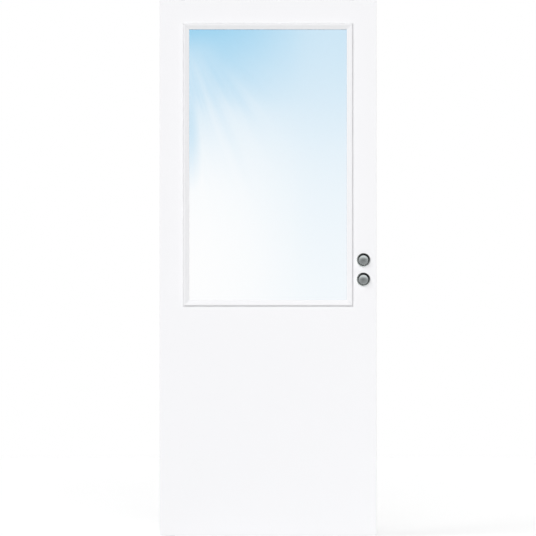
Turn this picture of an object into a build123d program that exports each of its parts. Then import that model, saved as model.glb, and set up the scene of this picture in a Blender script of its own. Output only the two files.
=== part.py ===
from build123d import *
import math
import os

# A white top-hung sliding door leaf with a large glazed light in its upper half, two round
# knobs on each face by the leading edge, and the aluminium track that it slides along.
# Millimetres. +X runs along the wall towards the closing side, +Y into the wall, +Z up.
# The origin is on the wall face of the fixing angle, at the middle of its length and height.
# The leaf is drawn closed, at the right-hand end of the track. It opens towards -X.

# Door leaf
LEAF_WIDTH = 825.0
LEAF_HEIGHT = 2040.0
LEAF_THICKNESS = 40.0
SKIN_THICKNESS = 3.0
SKIN_ARRIS = 0.8
BOTTOM_RAIL_HEIGHT = 90.0

# Where the leaf hangs
WALL_GAP = 32.0
FLOOR_GAP = 10.0
TOP_GAP = 12.0
LEAF_LEFT_OVER_GUIDE = 70.0
TRACK_SPARE = 70.0

# Glazed light: the leaf beside and above its bead frame, the height of glass that shows, and the beads
LIGHT_SIDE_MARGIN = 89.5
LIGHT_TOP_MARGIN = 89.0
SIGHT_HEIGHT = 1030.0
BEAD_WIDTH = 23.0
BEAD_PROUD = 7.0
BEAD_BEVEL = 3.0
BEAD_FLAT = 4.0
BEAD_SPLAY_DROP = 5.0
BEAD_LAP = 10.5
BEAD_ARRIS = 0.8
BEAD_CLEARANCE = 0.4
MITRE_GAP = 0.2
GLASS_THICKNESS = 4.0
GLASS_ARRIS = 0.5
GLASS_EDGE_GAP = 3.0
SETTING_BLOCK_LENGTH = 50.0
TAPE_THICKNESS = 2.0
TAPE_WIDTH = 8.0
TAPE_SETBACK = 0.6

# Knobs on their roses
KNOB_BACKSET = 49.5
KNOB_HEIGHT = 1050.0
KNOB_SPACING = 74.0
ROSE_DIAMETER = 53.0
ROSE_THICKNESS = 6.0
ROSE_RIM_WIDTH = 1.6
ROSE_EDGE_RADIUS = 1.6
ROSE_DISH_DEPTH = 3.4
HEAD_DIAMETER = 36.0
HEAD_RIM_HEIGHT = 4.5
HEAD_CROWN = 3.5
HEAD_ARRIS = 1.0
FINGER_GAP = 9.0
NECK_DIAMETER = 18.0
NECK_FLARE = 2.5
NECK_CLEARANCE = 0.3
SPINDLE_SIDE = 8.0
SPINDLE_SPLIT_GAP = 1.0
LEAF_BORE_DIAMETER = 16.0

# Mortised hook lock
LOCK_CASE_HEIGHT = 165.0
LOCK_CASE_THICKNESS = 15.0
LOCK_BACKING = 18.0
LOCK_CLEARANCE = 0.5
FOREND_HEIGHT = 200.0
FOREND_WIDTH = 20.0
FOREND_THICKNESS = 3.0
FOREND_END_FLAT = 0.4
FOLLOWER_BORE_DIAMETER = 12.0
HOOK_SLOT_HEIGHT = 44.0
HOOK_SLOT_WIDTH = 8.0
HOOK_SLOT_DEPTH = 36.0
HOOK_THICKNESS = 6.0
HOOK_HEIGHT = 30.0
HOOK_THROAT = 10.0
HOOK_ARM = 12.0
HOOK_INSET = 2.0
HOOK_PIN_DIAMETER = 6.0
HOOK_PIN_CLEARANCE = 0.1

# Track, a C-shaped aluminium extrusion
TRACK_WIDTH = 40.0
TRACK_HEIGHT = 36.0
TRACK_WALL = 2.5
TRACK_LIP = 3.0
TRACK_SLOT = 14.0
TRACK_CORNER_RADIUS = 1.5
RUNNER_WIDTH = 4.0
RUNNER_HEIGHT = 1.5
END_CAP_THICKNESS = 3.0
END_CAP_SPIGOT = 6.0
END_CAP_FIT = 0.3

# Aluminium angle that fixes the track to the wall
ANGLE_HEIGHT = 50.0
ANGLE_THICKNESS = 4.0
ANGLE_INNER_RADIUS = 4.0
WALL_HOLE_DIAMETER = 6.5
WALL_HOLE_END = 75.0
WALL_HOLE_RISE = 6.0
WALL_HOLE_PAIRS = 3

# Four-wheel carriages and the hangers that carry the leaf
CARRIAGE_EDGE_DISTANCE = 90.0
CARRIAGE_LENGTH = 80.0
CARRIAGE_WIDTH = 16.0
CARRIAGE_HEIGHT = 14.0
CARRIAGE_CORNER_RADIUS = 4.0
WHEEL_DIAMETER = 24.0
WHEEL_WIDTH = 6.0
WHEEL_WEB = 3.6
WHEEL_RIM = 3.0
WHEEL_HUB_DIAMETER = 11.0
WHEEL_ARRIS = 0.8
WHEEL_BASE = 50.0
WHEEL_SIDE_GAP = 1.0
WHEEL_RUNNER_GAP = 0.3
AXLE_DIAMETER = 6.0
AXLE_CLEARANCE = 0.2
AXLE_END = 1.0
BOLT_DIAMETER = 8.0
BOLT_CLEARANCE = 0.2
NUT_ACROSS_FLATS = 13.0
NUT_HEIGHT = 5.0
BOLT_TAIL = 12.0
PLATE_LENGTH = 110.0
PLATE_WIDTH = 28.0
PLATE_THICKNESS = 4.0
POCKET_DIAMETER = 18.0
POCKET_CLEARANCE = 4.0

# End stops and the floor guide
STOP_LENGTH = 24.0
STOP_HEIGHT = 22.0
STOP_SIDE_GAP = 0.5
BUFFER_DIAMETER = 13.0
BUFFER_LENGTH = 10.0
STOP_CLEARANCE = 5.0
GUIDE_EDGE_DISTANCE = 40.0
GUIDE_BASE_LENGTH = 72.0
GUIDE_BASE_WIDTH = 30.0
GUIDE_BASE_THICKNESS = 4.0
GUIDE_BASE_CORNER_RADIUS = 4.0
GUIDE_FIN_LENGTH = 36.0
GUIDE_FIN_THICKNESS = 5.0
GUIDE_FIN_END_RADIUS = 2.0
GUIDE_FIN_IN_GROOVE = 12.0
GUIDE_SCREW_DIAMETER = 5.0
GUIDE_SCREW_HEAD = 9.0
GUIDE_SCREW_SPACING = 54.0
GROOVE_WIDTH = 8.0
GROOVE_DEPTH = 18.0

# Places along the wall
TRAVEL = LEAF_WIDTH - LEAF_LEFT_OVER_GUIDE
TRACK_LENGTH = LEAF_WIDTH + TRAVEL + TRACK_SPARE
TRACK_RIGHT = TRACK_LENGTH / 2
TRACK_LEFT = -TRACK_RIGHT
LEAF_RIGHT = TRACK_RIGHT
LEAF_LEFT = LEAF_RIGHT - LEAF_WIDTH
LEAF_CENTRE_X = (LEAF_LEFT + LEAF_RIGHT) / 2
CARRIAGE_X = {"left": LEAF_LEFT + CARRIAGE_EDGE_DISTANCE, "right": LEAF_RIGHT - CARRIAGE_EDGE_DISTANCE}
KNOB_X = LEAF_RIGHT - KNOB_BACKSET
GUIDE_X = LEAF_LEFT + GUIDE_EDGE_DISTANCE

# Places out from the wall
LEAF_BACK = -WALL_GAP
LEAF_FRONT = LEAF_BACK - LEAF_THICKNESS
LEAF_MIDDLE = (LEAF_FRONT + LEAF_BACK) / 2
CORE_HALF = LEAF_THICKNESS / 2 - SKIN_THICKNESS
TRACK_FRONT = LEAF_MIDDLE - TRACK_WIDTH / 2

# Heights
TRACK_TOP = -ANGLE_HEIGHT / 2
TRACK_BOTTOM = TRACK_TOP - TRACK_HEIGHT
LEAF_TOP = TRACK_BOTTOM - TOP_GAP
LEAF_BOTTOM = LEAF_TOP - LEAF_HEIGHT
FLOOR = LEAF_BOTTOM - FLOOR_GAP
LIP_TOP = TRACK_BOTTOM + TRACK_LIP
AXLE_Z = LIP_TOP + RUNNER_HEIGHT + WHEEL_RUNNER_GAP + WHEEL_DIAMETER / 2
KNOB_Z = {"upper": LEAF_BOTTOM + KNOB_HEIGHT, "lower": LEAF_BOTTOM + KNOB_HEIGHT - KNOB_SPACING}
LOCK_Z = (KNOB_Z["upper"] + KNOB_Z["lower"]) / 2

# The glazed light and the cut-out that its beads line
SIGHT_WIDTH = LEAF_WIDTH - 2 * LIGHT_SIDE_MARGIN - 2 * BEAD_WIDTH
SIGHT_TOP = LEAF_TOP - LIGHT_TOP_MARGIN - BEAD_WIDTH
SIGHT_CENTRE_Z = SIGHT_TOP - SIGHT_HEIGHT / 2
CUTOUT_MARGIN = BEAD_WIDTH - BEAD_LAP
CUTOUT_WIDTH = SIGHT_WIDTH + 2 * CUTOUT_MARGIN
CUTOUT_HEIGHT = SIGHT_HEIGHT + 2 * CUTOUT_MARGIN
CUTOUT_LEFT = LEAF_CENTRE_X - CUTOUT_WIDTH / 2
CUTOUT_RIGHT = LEAF_CENTRE_X + CUTOUT_WIDTH / 2
CUTOUT_TOP = SIGHT_CENTRE_Z + CUTOUT_HEIGHT / 2
CUTOUT_BOTTOM = SIGHT_CENTRE_Z - CUTOUT_HEIGHT / 2
STILE_WIDTH = LIGHT_SIDE_MARGIN + BEAD_LAP

# Lock, wheels and screws
LOCK_CASE_DEPTH = STILE_WIDTH - FOREND_THICKNESS - 2 * LOCK_CLEARANCE - LOCK_BACKING
WHEEL_OFFSET = CARRIAGE_WIDTH / 2 + WHEEL_SIDE_GAP + WHEEL_WIDTH / 2
WALL_HOLE_PITCH = (TRACK_LENGTH - 2 * WALL_HOLE_END) / (2 * WALL_HOLE_PAIRS - 1)

# Cutting tools run this far past the face that they cut
PAST = 5.0


def slab(x, y, z):
    """A box between the low and the high value on each axis."""
    middle = Pos((x[0] + x[1]) / 2, (y[0] + y[1]) / 2, (z[0] + z[1]) / 2)
    return middle * Box(x[1] - x[0], y[1] - y[0], z[1] - z[0])


def about(middle, width):
    """The low and high value of a width centred on a place."""
    return (middle - width / 2, middle + width / 2)


def rod(diameter, low, high):
    """A round bar along Z between two heights."""
    return Pos(0, 0, (low + high) / 2) * Cylinder(diameter / 2, high - low)


def corner_near(shape, x, y):
    """The corner of a flat profile that lies nearest a point."""
    return min(shape.vertices(), key=lambda v: math.hypot(v.X - x, v.Y - y))


def rounded(profile, corners):
    """A flat profile with the named corners rounded, given as (x, y, radius)."""
    for x, y, radius in corners:
        profile = fillet(corner_near(profile, x, y), radius)
    return profile


def along_track(profile, x):
    """A profile drawn as (out from the leaf's middle plane, height), extruded between two places."""
    solid = extrude(Plane.YZ * profile, amount=x[1] - x[0])
    return Pos(x[0], LEAF_MIDDLE, 0) * solid


# Leaf: two skins on a timber frame with a solid core

def cutout():
    """The hole for the glazed light, through the whole leaf."""
    depth = (LEAF_FRONT - PAST, LEAF_BACK + PAST)
    return slab((CUTOUT_LEFT, CUTOUT_RIGHT), depth, (CUTOUT_BOTTOM, CUTOUT_TOP))


def knob_bores():
    """The through holes for the two spindles."""
    bore = rod(LEAF_BORE_DIAMETER, -LEAF_THICKNESS, LEAF_THICKNESS)
    return [Pos(KNOB_X, LEAF_MIDDLE, z) * Rot(90, 0, 0) * bore for z in KNOB_Z.values()]


def face_panel(outer, inner):
    """One skin of the leaf. The arris of its outer face is eased."""
    skin = slab((LEAF_LEFT, LEAF_RIGHT), sorted((outer, inner)), (LEAF_BOTTOM, LEAF_TOP))
    outer_face = [e for e in skin.edges() if abs(e.center().Y - outer) < SKIN_THICKNESS / 4]
    skin = chamfer(outer_face, SKIN_ARRIS)
    return skin - [cutout(), *knob_bores()]


def guide_groove():
    """The groove along the leaf's bottom edge that runs over the floor guide."""
    length = (LEAF_LEFT - PAST, LEAF_RIGHT + PAST)
    return slab(length, about(LEAF_MIDDLE, GROOVE_WIDTH), (LEAF_BOTTOM - PAST, LEAF_BOTTOM + GROOVE_DEPTH))


def hanger_recesses():
    """In the leaf's top edge, a recess for each hanger plate and a pocket for its bolt."""
    tools = []
    for x in CARRIAGE_X.values():
        recess = (LEAF_TOP - PLATE_THICKNESS, LEAF_TOP + PAST)
        tools.append(slab(about(x, PLATE_LENGTH), about(LEAF_MIDDLE, PLATE_WIDTH), recess))
        bottom = LEAF_TOP - PLATE_THICKNESS - NUT_HEIGHT - BOLT_TAIL - POCKET_CLEARANCE
        tools.append(Pos(x, LEAF_MIDDLE, 0) * rod(POCKET_DIAMETER, bottom, LEAF_TOP))
    return tools


def forend(x, slack=0.0):
    """The lock's forend, a strip with nearly round ends, or with some slack the rebate that it lies in."""
    width = FOREND_WIDTH + slack
    strip = slab(x, about(LEAF_MIDDLE, width), about(LOCK_Z, FOREND_HEIGHT + slack))
    return fillet(strip.edges().filter_by(Axis.X), (width - FOREND_END_FLAT) / 2)


def lock_mortise():
    """The mortise for the lock case and the rebate for its forend, in the leading edge."""
    fit = 2 * LOCK_CLEARANCE
    case_x = (LEAF_RIGHT - FOREND_THICKNESS - LOCK_CASE_DEPTH - fit, LEAF_RIGHT + PAST)
    case_y = about(LEAF_MIDDLE, LOCK_CASE_THICKNESS + fit)
    case = slab(case_x, case_y, about(LOCK_Z, LOCK_CASE_HEIGHT + fit))
    return [case, forend((LEAF_RIGHT - FOREND_THICKNESS, LEAF_RIGHT + PAST), LOCK_CLEARANCE)]


def core_slab(x, z):
    """A member that fills the leaf between its two skins."""
    return slab(x, about(LEAF_MIDDLE, 2 * CORE_HALF), z)


def leaf_frame():
    """Stiles, rails and core. The stiles run the full height, and the rails fit between them."""
    inner_top = CUTOUT_BOTTOM
    rail_top = LEAF_BOTTOM + BOTTOM_RAIL_HEIGHT
    between = (CUTOUT_LEFT, CUTOUT_RIGHT)
    trailing = core_slab((LEAF_LEFT, LEAF_LEFT + STILE_WIDTH), (LEAF_BOTTOM, LEAF_TOP))
    leading = core_slab((LEAF_RIGHT - STILE_WIDTH, LEAF_RIGHT), (LEAF_BOTTOM, LEAF_TOP))
    return {
        "stile_trailing": trailing - [guide_groove(), *hanger_recesses()],
        "stile_leading": leading - [guide_groove(), *hanger_recesses(), *lock_mortise(), *knob_bores()],
        "top_rail": core_slab(between, (CUTOUT_TOP, LEAF_TOP)) - hanger_recesses(),
        "bottom_rail": core_slab(between, (LEAF_BOTTOM, rail_top)) - guide_groove(),
        "core_panel": core_slab(between, (rail_top, inner_top)),
    }


# Glazing: a single pane between tapes, held by four mitred beads on each face

def bead(run, across):
    """A bead along the bottom of a light, drawn about the light's centre. run is the sight
    length along the bead, and across is the sight size at right angles to it."""
    face = -LEAF_THICKNESS / 2
    outer = -across / 2 - BEAD_WIDTH
    leg = -GLASS_THICKNESS / 2 - TAPE_THICKNESS
    leg_start = outer + BEAD_LAP + BEAD_CLEARANCE
    front = face - BEAD_PROUD
    inner = outer + BEAD_WIDTH
    flat_start = outer + BEAD_BEVEL
    flat_end = flat_start + BEAD_FLAT
    outline = [
        (face, outer),
        (front + BEAD_BEVEL, outer),
        (front, flat_start),
        (front, flat_end),
        (front + BEAD_SPLAY_DROP, inner),
        (leg, inner),
        (leg, leg_start),
        (face, leg_start),
    ]
    profile = make_face(Polyline(*outline, close=True))
    profile = rounded(profile, [(front, flat_start, BEAD_ARRIS), (front, flat_end, BEAD_ARRIS)])
    strip = extrude(Plane.YZ * profile, amount=run / 2 + BEAD_WIDTH, both=True)
    short = MITRE_GAP / 2 * math.sqrt(2)
    long_half = run / 2 + BEAD_WIDTH - short
    short_half = run / 2 - short
    plan = Polyline(
        (-long_half, outer), (long_half, outer), (short_half, inner), (-short_half, inner), close=True
    )
    mitred = extrude(Plane.XZ * make_face(plan), amount=LEAF_THICKNESS, both=True)
    return strip & mitred


def beads():
    """The eight beads, named by face and side."""
    centre = Pos(LEAF_CENTRE_X, LEAF_MIDDLE, SIGHT_CENTRE_Z)
    long_way = bead(SIGHT_HEIGHT, SIGHT_WIDTH)
    short_way = bead(SIGHT_WIDTH, SIGHT_HEIGHT)
    turns = {
        "bottom": (0, short_way),
        "left": (90, long_way),
        "top": (180, short_way),
        "right": (270, long_way),
    }
    made = {}
    for side, (turn, strip) in turns.items():
        made["bead_front_" + side] = centre * Rot(0, turn, 0) * strip
        made["bead_back_" + side] = centre * Rot(0, turn, 0) * mirror(strip, Plane.XZ)
    return made


def glass_pane():
    """The pane, with its edges ground."""
    width = CUTOUT_WIDTH - 2 * GLASS_EDGE_GAP
    height = CUTOUT_HEIGHT - 2 * GLASS_EDGE_GAP
    pane = Box(width, GLASS_THICKNESS, height)
    pane = chamfer(pane.edges(), GLASS_ARRIS)
    return Pos(LEAF_CENTRE_X, LEAF_MIDDLE, SIGHT_CENTRE_Z) * pane


def glazing_tape(side):
    """The tape between the pane and the beads of one face. side is -1 in front and 1 behind."""
    inner_width = SIGHT_WIDTH + 2 * TAPE_SETBACK
    inner_height = SIGHT_HEIGHT + 2 * TAPE_SETBACK
    ring = Box(inner_width + 2 * TAPE_WIDTH, TAPE_THICKNESS, inner_height + 2 * TAPE_WIDTH)
    ring -= Box(inner_width, 2 * TAPE_THICKNESS, inner_height)
    out = side * (GLASS_THICKNESS + TAPE_THICKNESS) / 2
    return Pos(LEAF_CENTRE_X, LEAF_MIDDLE + out, SIGHT_CENTRE_Z) * ring


def setting_blocks():
    """The two blocks that the pane stands on, a quarter of its width from each end."""
    made = []
    for side in (-1, 1):
        length = about(LEAF_CENTRE_X + side * CUTOUT_WIDTH / 4, SETTING_BLOCK_LENGTH)
        height = (CUTOUT_BOTTOM, CUTOUT_BOTTOM + GLASS_EDGE_GAP)
        made.append(slab(length, about(LEAF_MIDDLE, GLASS_THICKNESS), height))
    return Compound(children=made)


# Knobs and lock

def on_face(height, front):
    """Carries a shape drawn up from Z = 0 onto a face of the leaf, at the knobs' backset."""
    if front:
        return Pos(KNOB_X, LEAF_FRONT, height) * Rot(90, 0, 0)
    return Pos(KNOB_X, LEAF_BACK, height) * Rot(-90, 0, 0)


def rose():
    """The round plate behind a knob, dished between its rim and the knob's neck."""
    radius = ROSE_DIAMETER / 2
    bore = NECK_DIAMETER / 2 + NECK_CLEARANCE
    rim = radius - ROSE_EDGE_RADIUS - ROSE_RIM_WIDTH
    floor = ROSE_THICKNESS - ROSE_DISH_DEPTH
    dish_start = bore + (rim - bore) / 3
    profile = make_face([
        Line((bore, 0), (radius, 0)),
        Line((radius, 0), (radius, ROSE_THICKNESS)),
        Line((radius, ROSE_THICKNESS), (rim, ROSE_THICKNESS)),
        RadiusArc((rim, ROSE_THICKNESS), (dish_start, floor), rim - bore),
        Line((dish_start, floor), (bore, floor)),
        Line((bore, floor), (bore, 0)),
    ])
    profile = rounded(profile, [(radius, ROSE_THICKNESS, ROSE_EDGE_RADIUS)])
    return revolve(Plane.XZ * profile, Axis.Z)


def knob():
    """A knob with a domed face, its neck and half of its square spindle."""
    radius = HEAD_DIAMETER / 2
    neck = NECK_DIAMETER / 2
    back = ROSE_THICKNESS + FINGER_GAP
    edge = back + HEAD_RIM_HEIGHT
    shoulder = radius - HEAD_ARRIS
    outline = Polyline(
        (0, NECK_CLEARANCE),
        (neck, NECK_CLEARANCE),
        (neck, back - NECK_FLARE),
        (neck + NECK_FLARE, back),
        (shoulder, back),
        (radius, back + HEAD_ARRIS),
        (radius, edge - HEAD_ARRIS),
        (shoulder, edge),
        (0, edge),
        close=True,
    )
    body = revolve(Plane.XZ * make_face(outline), Axis.Z)
    crown_radius = (shoulder**2 + HEAD_CROWN**2) / (2 * HEAD_CROWN)
    ball = Pos(0, 0, edge + HEAD_CROWN - crown_radius) * Sphere(crown_radius)
    body += ball & rod(2 * shoulder, edge, edge + 2 * HEAD_CROWN)
    low = SPINDLE_SPLIT_GAP / 2 - LEAF_THICKNESS / 2
    spindle = slab(about(0, SPINDLE_SIDE), about(0, SPINDLE_SIDE), (low, back))
    return body + spindle


def knobs():
    """Roses and knobs on both faces. The upper knob is a fixed pull, and the lower turns the lock."""
    made = {}
    for place, height in KNOB_Z.items():
        purpose = "pull" if place == "upper" else "turn"
        for face, front in (("front", True), ("back", False)):
            made[f"rose_{place}_{face}"] = on_face(height, front) * rose()
            made[f"{purpose}_knob_{face}"] = on_face(height, front) * knob()
    return made


def lock_body():
    """The lock case with its forend. The hook's slot and the followers' bores go through it."""
    strip_x = (LEAF_RIGHT - FOREND_THICKNESS, LEAF_RIGHT)
    case_x = (strip_x[0] - LOCK_CASE_DEPTH, strip_x[0])
    case = slab(case_x, about(LEAF_MIDDLE, LOCK_CASE_THICKNESS), about(LOCK_Z, LOCK_CASE_HEIGHT))
    slot_x = (LEAF_RIGHT - HOOK_SLOT_DEPTH, LEAF_RIGHT + PAST)
    slot = slab(slot_x, about(LEAF_MIDDLE, HOOK_SLOT_WIDTH), about(LOCK_Z, HOOK_SLOT_HEIGHT))
    follower = rod(FOLLOWER_BORE_DIAMETER, -LEAF_THICKNESS, LEAF_THICKNESS)
    bores = [Pos(KNOB_X, LEAF_MIDDLE, z) * Rot(90, 0, 0) * follower for z in KNOB_Z.values()]
    pin_bore = rod(HOOK_PIN_DIAMETER + 2 * HOOK_PIN_CLEARANCE, -LEAF_THICKNESS, LEAF_THICKNESS)
    bores.append(hook_pin() * Rot(90, 0, 0) * pin_bore)
    return forend(strip_x) + case - [slot, *bores]


def hook_pin():
    """Where the hook turns in the lock, in its arm."""
    return Pos(LEAF_RIGHT - HOOK_SLOT_DEPTH + HOOK_ARM / 2 + HOOK_INSET, LEAF_MIDDLE, LOCK_Z)


def hook_bolt():
    """The hook, swung back into its slot, on the pin that it turns on."""
    pin_x = hook_pin().position.X
    nose = LEAF_RIGHT - HOOK_INSET
    arm = Pos(pin_x, LOCK_Z) * Circle(HOOK_ARM / 2)
    length = nose - pin_x
    bar = Pos(pin_x + length / 2, LOCK_Z) * Rectangle(length, HOOK_ARM)
    drop = HOOK_ARM / 2 + HOOK_HEIGHT / 2
    beak = Pos(nose - HOOK_THROAT / 2, LOCK_Z + HOOK_ARM / 2 - drop / 2) * Rectangle(HOOK_THROAT, drop)
    plate = extrude(Plane.XZ * (arm + bar + beak), amount=HOOK_THICKNESS / 2, both=True)
    pin = Rot(90, 0, 0) * rod(HOOK_PIN_DIAMETER, -LOCK_CASE_THICKNESS / 2, LOCK_CASE_THICKNESS / 2)
    return Pos(0, LEAF_MIDDLE, 0) * plate + hook_pin() * pin


# Track and its wall angle

def track_profile():
    """The track's section: a box with a slot below, and a runner on each lip for the wheels."""
    section = Pos(0, (TRACK_TOP + TRACK_BOTTOM) / 2) * Rectangle(TRACK_WIDTH, TRACK_HEIGHT)
    section = fillet(section.vertices(), TRACK_CORNER_RADIUS)
    cavity_top = TRACK_TOP - TRACK_WALL
    cavity = Rectangle(TRACK_WIDTH - 2 * TRACK_WALL, cavity_top - LIP_TOP)
    cavity = fillet(cavity.vertices(), TRACK_CORNER_RADIUS / 2)
    section -= Pos(0, (cavity_top + LIP_TOP) / 2) * cavity
    slot_height = LIP_TOP - TRACK_BOTTOM + RUNNER_HEIGHT
    section -= Pos(0, TRACK_BOTTOM + slot_height / 2) * Rectangle(TRACK_SLOT, 2 * slot_height)
    for side in (-1, 1):
        runner = Rectangle(RUNNER_WIDTH, RUNNER_HEIGHT + TRACK_LIP)
        section += Pos(side * WHEEL_OFFSET, TRACK_BOTTOM + (RUNNER_HEIGHT + TRACK_LIP) / 2) * runner
    return along_track(section, (TRACK_LEFT, TRACK_RIGHT))


def end_cap(side):
    """A cap on one end of the track. Its spigot fits in the track. side is -1 left and 1 right."""
    plate = Pos(0, (TRACK_TOP + TRACK_BOTTOM) / 2) * Rectangle(TRACK_WIDTH, TRACK_HEIGHT)
    plate = fillet(plate.vertices(), TRACK_CORNER_RADIUS)
    fit = 2 * END_CAP_FIT
    low = LIP_TOP + RUNNER_HEIGHT + END_CAP_FIT
    high = TRACK_TOP - TRACK_WALL - END_CAP_FIT
    spigot = Pos(0, (low + high) / 2) * Rectangle(TRACK_WIDTH - 2 * TRACK_WALL - fit, high - low)
    end = TRACK_RIGHT if side > 0 else TRACK_LEFT
    outside = sorted((end, end + side * END_CAP_THICKNESS))
    inside = sorted((end - side * END_CAP_SPIGOT, end))
    return along_track(plate, outside) + along_track(spigot, inside)


def wall_angle():
    """The angle on the wall. Its upright leg takes the wall screws, and the track hangs from the other."""
    depth = -TRACK_FRONT
    outline = Polyline(
        (0, ANGLE_HEIGHT / 2),
        (-ANGLE_THICKNESS, ANGLE_HEIGHT / 2),
        (-ANGLE_THICKNESS, TRACK_TOP + ANGLE_THICKNESS),
        (-depth, TRACK_TOP + ANGLE_THICKNESS),
        (-depth, TRACK_TOP),
        (0, TRACK_TOP),
        close=True,
    )
    inner = (-ANGLE_THICKNESS, TRACK_TOP + ANGLE_THICKNESS, ANGLE_INNER_RADIUS)
    section = rounded(make_face(outline), [inner])
    angle = extrude(Plane.YZ * section, amount=TRACK_LENGTH / 2, both=True)
    hole = Rot(90, 0, 0) * rod(WALL_HOLE_DIAMETER, -ANGLE_THICKNESS, 2 * ANGLE_THICKNESS)
    for pair in range(WALL_HOLE_PAIRS):
        out = WALL_HOLE_PITCH * (pair + 0.5)
        angle -= [Pos(x, 0, WALL_HOLE_RISE) * hole for x in (-out, out)]
    return angle


def end_stop(x, towards):
    """A stop clamped in the track, with a foot in its slot. x is the face that takes the buffer."""
    inner_width = TRACK_WIDTH - 2 * TRACK_WALL
    low = LIP_TOP + RUNNER_HEIGHT
    body = Pos(0, low + STOP_HEIGHT / 2) * Rectangle(inner_width - 2 * STOP_SIDE_GAP, STOP_HEIGHT)
    foot = Pos(0, (TRACK_BOTTOM + low) / 2) * Rectangle(TRACK_SLOT - 2 * STOP_SIDE_GAP, low - TRACK_BOTTOM)
    return along_track(body + foot, sorted((x, x - towards * STOP_LENGTH)))


def stop_buffer(x, towards):
    """The rubber buffer on a stop, at the height of the carriage. x is the stop's face."""
    buffer = Rot(0, 90, 0) * rod(BUFFER_DIAMETER, *sorted((0, towards * BUFFER_LENGTH)))
    return Pos(x, LEAF_MIDDLE, AXLE_Z) * buffer


def stops():
    """Both stops with their buffers, a little clear of the carriages at each end of the travel."""
    reach = CARRIAGE_LENGTH / 2 + STOP_CLEARANCE + BUFFER_LENGTH
    right = CARRIAGE_X["right"] + reach
    left = CARRIAGE_X["left"] - TRAVEL - reach
    return {
        "end_stop_right": end_stop(right, -1),
        "end_stop_left": end_stop(left, 1),
        "stop_buffers": Compound(children=[stop_buffer(right, -1), stop_buffer(left, 1)]),
    }


def floor_guide():
    """The guide on the floor: a screwed base and a fin that stands in the leaf's groove."""
    base_top = FLOOR + GUIDE_BASE_THICKNESS
    base = slab(about(GUIDE_X, GUIDE_BASE_LENGTH), about(LEAF_MIDDLE, GUIDE_BASE_WIDTH), (FLOOR, base_top))
    base = fillet(base.edges().filter_by(Axis.Z), GUIDE_BASE_CORNER_RADIUS)
    fin_top = LEAF_BOTTOM + GUIDE_FIN_IN_GROOVE
    fin = slab(about(GUIDE_X, GUIDE_FIN_LENGTH), about(LEAF_MIDDLE, GUIDE_FIN_THICKNESS), (base_top, fin_top))
    fin = fillet(fin.edges().filter_by(Axis.Z), GUIDE_FIN_END_RADIUS)
    screws = []
    for side in (-1, 1):
        place = Pos(GUIDE_X + side * GUIDE_SCREW_SPACING / 2, LEAF_MIDDLE, base_top)
        screws.append(place * CounterSinkHole(GUIDE_SCREW_DIAMETER / 2, GUIDE_SCREW_HEAD / 2, 2 * FLOOR_GAP))
    return base + fin - screws


# Carriages and hangers

def carriage(x):
    """A carriage body with four stub axles and the bore for its hanger bolt."""
    body = Box(CARRIAGE_LENGTH, CARRIAGE_WIDTH, CARRIAGE_HEIGHT)
    body = fillet(body.edges().filter_by(Axis.Y), CARRIAGE_CORNER_RADIUS)
    half_axle = WHEEL_OFFSET + WHEEL_WIDTH / 2 + AXLE_END
    axle = Rot(90, 0, 0) * rod(AXLE_DIAMETER, -half_axle, half_axle)
    for side in (-1, 1):
        body += Pos(side * WHEEL_BASE / 2, 0, 0) * axle
    body -= rod(BOLT_DIAMETER + 2 * BOLT_CLEARANCE, -CARRIAGE_HEIGHT, CARRIAGE_HEIGHT)
    return Pos(x, LEAF_MIDDLE, AXLE_Z) * body


def wheel():
    """A nylon wheel about Z, with a web thinner than its tread."""
    bore = AXLE_DIAMETER + 2 * AXLE_CLEARANCE
    half = WHEEL_WIDTH / 2
    disc = rod(WHEEL_DIAMETER, -half, half)
    disc = chamfer(disc.edges(), WHEEL_ARRIS)
    recess = (WHEEL_WIDTH - WHEEL_WEB) / 2
    for low, high in ((half - recess, half + recess), (-half - recess, -half + recess)):
        ring = rod(WHEEL_DIAMETER - 2 * WHEEL_RIM, low, high)
        disc -= ring - rod(WHEEL_HUB_DIAMETER, low, high)
    return disc - rod(bore, -WHEEL_WIDTH, WHEEL_WIDTH)


def wheels(x):
    """The four wheels of a carriage."""
    upright = Rot(90, 0, 0) * wheel()
    made = []
    for along in (-WHEEL_BASE / 2, WHEEL_BASE / 2):
        for out in (-WHEEL_OFFSET, WHEEL_OFFSET):
            made.append(Pos(x + along, LEAF_MIDDLE + out, AXLE_Z) * upright)
    return Compound(children=made)


def hexagon(low, high):
    """A nut or bolt head about Z."""
    across_corners = NUT_ACROSS_FLATS / math.cos(math.pi / 6)
    return Pos(0, 0, low) * extrude(RegularPolygon(across_corners / 2, 6), amount=high - low)


def hanger_bolt(x):
    """The bolt from a carriage down to its hanger plate, with a nut on each side of the plate."""
    head_low = AXLE_Z + CARRIAGE_HEIGHT / 2
    tail = LEAF_TOP - PLATE_THICKNESS - NUT_HEIGHT - BOLT_TAIL
    bolt = rod(BOLT_DIAMETER, tail, head_low) + hexagon(head_low, head_low + NUT_HEIGHT)
    bolt += hexagon(LEAF_TOP, LEAF_TOP + NUT_HEIGHT)
    bolt += hexagon(LEAF_TOP - PLATE_THICKNESS - NUT_HEIGHT, LEAF_TOP - PLATE_THICKNESS)
    return Pos(x, LEAF_MIDDLE, 0) * bolt


def hanger_plate(x):
    """The steel plate let into the leaf's top edge."""
    bottom = LEAF_TOP - PLATE_THICKNESS
    plate = slab(about(x, PLATE_LENGTH), about(LEAF_MIDDLE, PLATE_WIDTH), (bottom, LEAF_TOP))
    hole = rod(BOLT_DIAMETER + 2 * BOLT_CLEARANCE, LEAF_TOP - 2 * PLATE_THICKNESS, LEAF_TOP + PAST)
    return plate - Pos(x, LEAF_MIDDLE, 0) * hole


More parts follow.
